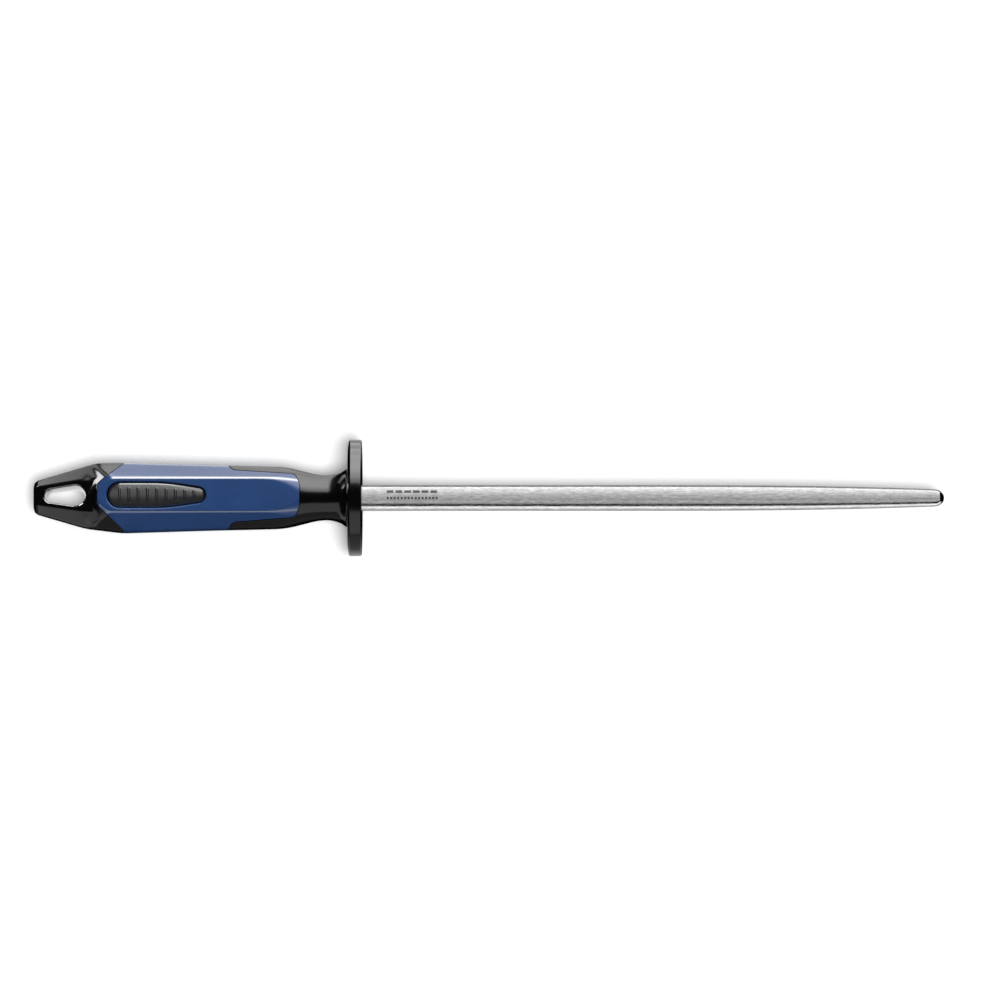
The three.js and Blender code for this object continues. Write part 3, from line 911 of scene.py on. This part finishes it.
class Nodes:
    """A material's nodes, wired in short calls."""

    def __init__(self, name):
        self.material = bpy.data.materials.new(name)
        self.material.use_nodes = True
        self.tree = self.material.node_tree
        self.shader = self.tree.nodes["Principled BSDF"]
        self.place = self.new("ShaderNodeTexCoord").outputs["Object"]

    def new(self, kind, inputs=(), **settings):
        node = self.tree.nodes.new(kind)
        for key, value in settings.items():
            setattr(node, key, value)
        for key, value in dict(inputs).items():
            self.feed(node.inputs[key], value)
        return node

    def feed(self, socket, value):
        if isinstance(value, bpy.types.NodeSocket):
            self.tree.links.new(value, socket)
        else:
            socket.default_value = value

    def math(self, operation, first, second=0.0, clamp=False):
        node = self.new("ShaderNodeMath", {0: first, 1: second}, operation=operation)
        node.use_clamp = clamp
        return node.outputs[0]

    def noise(self, size, detail=2.0, stretch=(1, 1, 1), roughness=0.5):
        """Noise whose features are about a size in millimetres, drawn out along the axes."""
        scaling = tuple(PER_METRE / size / s for s in stretch)
        moved = self.new("ShaderNodeMapping", {"Vector": self.place, "Scale": scaling})
        noise = self.new(
            "ShaderNodeTexNoise",
            {"Vector": moved.outputs[0], "Scale": 1.0, "Detail": detail, "Roughness": roughness},
        )
        return noise.outputs["Fac"]

    def ranged(self, value, low, high, low_in=0.0, high_in=1.0):
        node = self.new(
            "ShaderNodeMapRange",
            {"Value": value, "From Min": low_in, "From Max": high_in, "To Min": low, "To Max": high},
        )
        return node.outputs["Result"]

    def mix(self, share, first, second):
        node = self.new("ShaderNodeMix", data_type="RGBA")
        self.feed(node.inputs[0], share)
        self.feed(node.inputs[6], first)
        self.feed(node.inputs[7], second)
        return node.outputs[2]

    def bump(self, height, depth, before=None):
        """A bump whose full height is a depth in millimetres."""
        inputs = {"Height": height, "Distance": depth / PER_METRE, "Strength": 1.0}
        if before is not None:
            inputs["Normal"] = before
        return self.new("ShaderNodeBump", inputs).outputs[0]

    def finish(self, **inputs):
        for key, value in inputs.items():
            self.feed(self.shader.inputs[key.replace("_", " ")], value)
        return self.material


def moulded_plastic(name, colour, deep, roughness, grain, specular=0.5, polish=1.0):
    """Satin moulded plastic: fine eroded grain, slow shifts of tone and a few shinier rubbed spots."""
    nodes = Nodes(name)
    tone = nodes.ranged(nodes.noise(9, 3), 0, 1, 0.3, 0.7)
    fine = nodes.noise(0.35, 3)
    handled = nodes.ranged(nodes.noise(14, 4, stretch=(2, 1, 1)), 0, 1, 0.45, 0.7)
    rough = nodes.ranged(fine, roughness - 0.05, roughness + 0.05)
    rough = nodes.math("SUBTRACT", rough, nodes.math("MULTIPLY", handled, 0.05))
    speck = nodes.ranged(nodes.noise(0.8, 2), 0, 0.35, 0.35, 0.75)
    base = nodes.mix(nodes.math("ADD", nodes.math("MULTIPLY", tone, 0.5), speck, clamp=True), deep, colour)
    normal = nodes.bump(fine, grain)
    normal = nodes.bump(nodes.noise(5, 2), 0.02, normal)
    edge = nodes.new("ShaderNodeAttribute", attribute_name="edge").outputs["Fac"]
    worn = nodes.math("MULTIPLY", edge, nodes.ranged(nodes.noise(2.5, 3), polish * 0.75, polish))
    return nodes.finish(
        Base_Color=base, Roughness=rough, Normal=normal, Specular_IOR_Level=specular,
        Coat_Weight=worn, Coat_Roughness=0.12, Coat_IOR=2.3,
    )


def chromed_steel():
    """Chrome over fine lengthwise grinding: streaks of tone, roughness and height along X."""
    nodes = Nodes("chromed_steel")
    streaks = nodes.noise(0.6, 4, stretch=(5, 1, 1), roughness=0.7)
    hairs = nodes.noise(0.2, 2, stretch=(12, 1, 1))
    blotches = nodes.noise(1.4, 3, stretch=(5, 1, 1))
    split = nodes.new("ShaderNodeSeparateXYZ", {"Vector": nodes.place})
    x = split.outputs["X"]
    y = split.outputs["Y"]
    z = split.outputs["Z"]
    ground = nodes.ranged(x, 1, 0, (STEEL_HIGH.x - 5.2) / PER_METRE, (STEEL_HIGH.x - 4.4) / PER_METRE)

    def dashes(start, end, pitch, share, centre, half):
        """1 on a row of even dashes etched lengthwise along the upper side."""
        along = nodes.math("MULTIPLY", x, PER_METRE)
        part = nodes.math("FRACT", nodes.math("DIVIDE", nodes.math("SUBTRACT", along, start), pitch))
        on = nodes.math("LESS_THAN", part, share)
        after = nodes.math("GREATER_THAN", along, start)
        before = nodes.math("LESS_THAN", along, end)
        off = nodes.math("ABSOLUTE", nodes.math("SUBTRACT", nodes.math("MULTIPLY", y, PER_METRE), centre))
        in_row = nodes.math("LESS_THAN", off, half)
        above = nodes.math("GREATER_THAN", z, 0.0)
        result = nodes.math("MULTIPLY", on, after)
        for part in (before, in_row, above):
            result = nodes.math("MULTIPLY", result, part)
        return result

    upper = dashes(10.5, 33, 3.75, 0.78, 2.1, 0.6)
    lower = dashes(10.5, 33, 1.5, 0.6, -0.7, 0.5)
    etched = nodes.math("MAXIMUM", upper, lower)
    tone = nodes.mix(nodes.ranged(streaks, 0, 1, 0.3, 0.7), linear(182, 182, 182), linear(242, 242, 242))
    tone = nodes.mix(nodes.ranged(blotches, 0, 0.3, 0.4, 0.7), tone, linear(172, 172, 172))
    tone = nodes.mix(nodes.math("MULTIPLY", etched, 0.8), tone, linear(60, 60, 61))
    rough = nodes.ranged(streaks, 0.15, 0.27, 0.3, 0.7)
    rough = nodes.math("MULTIPLY", rough, nodes.ranged(ground, 0.25, 1.0))
    rough = nodes.math("MAXIMUM", rough, nodes.math("MULTIPLY", etched, 0.55))
    normal = nodes.bump(nodes.math("MULTIPLY", streaks, ground), 0.018)
    normal = nodes.bump(nodes.math("MULTIPLY", hairs, ground), 0.004, normal)
    return nodes.finish(Base_Color=tone, Roughness=rough, Metallic=1.0, Normal=normal)


# ---------- the stage ----------

FLOOR_HALF = 4.0
VIEW_DISTANCE = 6.0
VIEW_ELEVATION = math.radians(83)
VIEW_WIDTH = 0.4296
SENSOR_WIDTH = 36
VIEW_SHIFT = Vector((0.0047, -0.0009, -0.0001))
FLOOR_DROP = 0.0002
BACKDROP = 0.93
AMBIENT = 0.4
KEY_STRENGTH = 2.7
KEY_SPREAD = math.radians(16)
KEY_FROM = Vector((0.09, -0.19, 1.0))
FILL_STRENGTH = 3.5
FILL_FROM = Vector((0.0, 0.95, 0.31))


def make_floor():
    """A pale floor under the guard's rim, seen only from above."""
    data = bpy.data.meshes.new("floor")
    z = cad_bounds[0].z - FLOOR_DROP
    half = FLOOR_HALF
    data.from_pydata(
        [(-half, -half, z), (half, -half, z), (half, half, z), (-half, half, z)], [], [(0, 1, 2, 3)]
    )
    floor = bpy.data.objects.new("floor", data)
    bpy.context.scene.collection.objects.link(floor)
    nodes = Nodes("floor_paper")
    tone = nodes.mix(nodes.noise(400, 2), linear(251, 251, 251), linear(254, 254, 254))
    material = nodes.finish(Base_Color=tone, Roughness=1.0, Specular_IOR_Level=0.0)
    clear = nodes.new("ShaderNodeBsdfTransparent")
    side = nodes.new("ShaderNodeNewGeometry")
    choice = nodes.new("ShaderNodeMixShader", {0: side.outputs["Backfacing"]})
    nodes.feed(choice.inputs[1], nodes.shader.outputs[0])
    nodes.feed(choice.inputs[2], clear.outputs[0])
    nodes.feed(nodes.tree.nodes["Material Output"].inputs["Surface"], choice.outputs[0])
    data.materials.append(material)
    floor.visible_glossy = False
    floor.visible_shadow = False


def make_world():
    """Even light for matt surfaces and a pale backdrop, but nothing for gloss to mirror."""
    world = bpy.data.worlds.new("studio")
    bpy.context.scene.world = world
    world.use_nodes = True
    tree = world.node_tree
    background = tree.nodes["Background"]
    ray = tree.nodes.new("ShaderNodeLightPath")
    strength = tree.nodes.new("ShaderNodeMapRange")
    tree.links.new(ray.outputs["Is Camera Ray"], strength.inputs["Value"])
    strength.inputs["To Min"].default_value = AMBIENT
    strength.inputs["To Max"].default_value = BACKDROP
    tree.links.new(strength.outputs["Result"], background.inputs["Strength"])
    background.inputs["Color"].default_value = (1, 1, 1, 1)
    world.cycles_visibility.glossy = False


def make_key():
    """A broad sun-like lamp that casts the soft shadow."""
    lamp = bpy.data.lights.new("key", "SUN")
    lamp.energy = KEY_STRENGTH
    lamp.angle = KEY_SPREAD
    holder = bpy.data.objects.new("key", lamp)
    holder.rotation_mode = "QUATERNION"
    holder.rotation_quaternion = KEY_FROM.to_track_quat("Z", "Y")
    holder.visible_glossy = False
    bpy.context.scene.collection.objects.link(holder)
    return holder


def make_panel(name, angle, spread, strength, lit, distance=1.0, length=2.0, shift=0.0):
    """A soft panel parallel to X, at an angle from overhead towards +Y, that some pieces mirror.

    Its spread is the angle that it fills, as seen from the object.
    """
    angle = math.radians(angle)
    lamp = bpy.data.lights.new(name, "AREA")
    lamp.shape = "RECTANGLE"
    lamp.size = length
    lamp.size_y = 2 * distance * math.tan(math.radians(spread) / 2)
    lamp.energy = strength * math.pi * lamp.size * lamp.size_y
    holder = bpy.data.objects.new(name, lamp)
    away = Vector((0, math.sin(angle), math.cos(angle)))
    side = Vector((1, 0, 0))
    up = away.cross(side)
    turn = Matrix((side, up, away)).transposed().to_4x4()
    holder.matrix_world = Matrix.Translation(away * distance + Vector((shift, 0, 0))) @ turn
    holder.visible_camera = False
    holder.visible_diffuse = False
    holder.light_linking.receiver_collection = lit
    bpy.context.scene.collection.objects.link(holder)
    return holder


def make_camera():
    """The camera, far off so that the steel keeps its even thickness."""
    camera = bpy.data.cameras.new("camera")
    camera.sensor_width = SENSOR_WIDTH
    camera.lens = SENSOR_WIDTH * VIEW_DISTANCE / VIEW_WIDTH
    camera.clip_end = 100
    holder = bpy.data.objects.new("camera", camera)
    back = Vector((0, -math.cos(VIEW_ELEVATION), math.sin(VIEW_ELEVATION)))
    target = Vector(((cad_bounds[0].x + cad_bounds[1].x) / 2, 0, 0)) + VIEW_SHIFT
    holder.location = target + back * VIEW_DISTANCE
    holder.rotation_mode = "QUATERNION"
    holder.rotation_quaternion = (-back).to_track_quat("-Z", "Y")
    bpy.context.scene.collection.objects.link(holder)
    bpy.context.scene.camera = holder


# ---------- the scene ----------


def linked(name, *pieces):
    """A collection that lights can be linked to."""
    collection = bpy.data.collections.new(name)
    for piece in pieces:
        collection.objects.link(piece)
    return collection


blue = moulded_plastic("blue_grip", linear(33, 58, 99), linear(28, 50, 88), 0.24, 0.004, specular=0.3)
black = moulded_plastic("black_plastic", linear(6, 6, 6), linear(3, 3, 3), 0.18, 0.003)
dark_grey = moulded_plastic("badge_plastic", linear(38, 38, 39), linear(31, 31, 33), 0.26, 0.002)
hole_middle = (HOLE_LARGE + HOLE_SMALL) / 2 / PER_METRE
core = make_core(black)
guard = make_guard(black)
shell = make_shell(blue)
badge = make_badge(dark_grey)
steel = make_steel(chromed_steel())

# The guard's own panels would bounce off its face and leave a white patch on the rod.
guard.visible_glossy = False

make_floor()
make_world()
make_key()
fill = make_key()
fill.data.energy = FILL_STRENGTH
fill.rotation_quaternion = FILL_FROM.to_track_quat("Z", "Y")
fill.data.use_shadow = False
fill.light_linking.receiver_collection = linked("filled", shell)

coloured = linked("coloured_pieces", guard, shell, badge)
core_lit = linked("core_lit", core)
# Each panel is (angle, spread, strength). The core takes a share of the others' strength.
CORE_SHARE = 0.8
PLASTIC_SKY = (
    (28, 10, 3.8), (39, 12, 6.0), (56, 22, 7.7), (77, 20, 6.8), (97, 20, 5.0), (120, 26, 2.6),
    (148, 30, 0.8),
)
for angle, spread, strength in PLASTIC_SKY:
    make_panel(f"plastic_sky_{angle}", angle, spread, strength, coloured, length=1.2, shift=0.4)
    make_panel(
        f"core_sky_{angle}", angle, spread, CORE_SHARE * strength, core_lit, length=1.2, shift=0.4,
    )
make_panel("near_sky", -58, 50, 0.92, linked("near_lit", core, guard, shell))
make_panel("guard_low_sky", -110, 48, 0.45, linked("guard_lit", guard))
make_panel("guard_under_sky", -155, 40, 0.8, bpy.data.collections["guard_lit"])
make_panel("core_low_sky", -110, 48, 0.2, core_lit)
make_panel("tab_low_sky", -105, 50, 0.8, core_lit, distance=0.25, length=0.06, shift=-0.2)
make_panel("tab_sky", 100, 50, 1.8, core_lit, distance=0.25, length=0.06, shift=-0.19)
make_panel("facet_sky", 70, 38, 16.0, core_lit, distance=0.12, length=0.06, shift=-0.213)
make_panel("badge_sky", 11, 24, 1.5, linked("badge_lit", badge))
make_panel("hole_glow", 180, 30, 1.3, core_lit, distance=0.03, length=0.03, shift=hole_middle)
# Each panel is (angle, spread, strength, how far it reaches past the guard in metres).
STEEL_SKY = (
    (165, 34, 0.5, 1.0), (130, 36, 0.26, 1.0), (100, 20, 1.65, 1.0), (80, 20, 1.25, 1.2),
    (60, 20, 1.05, 1.4), (40, 20, 0.84, 1.6), (20, 20, 0.68, 1.9), (0, 20, 0.58, 1.9),
    (-20, 20, 0.46, 1.9), (-40, 18, 0.6, 1.9), (-56, 12, 0.5, 1.7), (-102, 24, 1.4, 1.6),
    (-126, 26, 0.75, 1.2), (-150, 22, 0.4, 1.0),
)
steels = linked("steel_pieces", steel)
for angle, spread, strength, reach in STEEL_SKY:
    make_panel(
        f"steel_sky_{angle}", angle, spread, strength, steels, length=1 + reach, shift=(reach - 1) / 2,
    )
make_camera()
bpy.context.scene.view_settings.view_transform = "Standard"
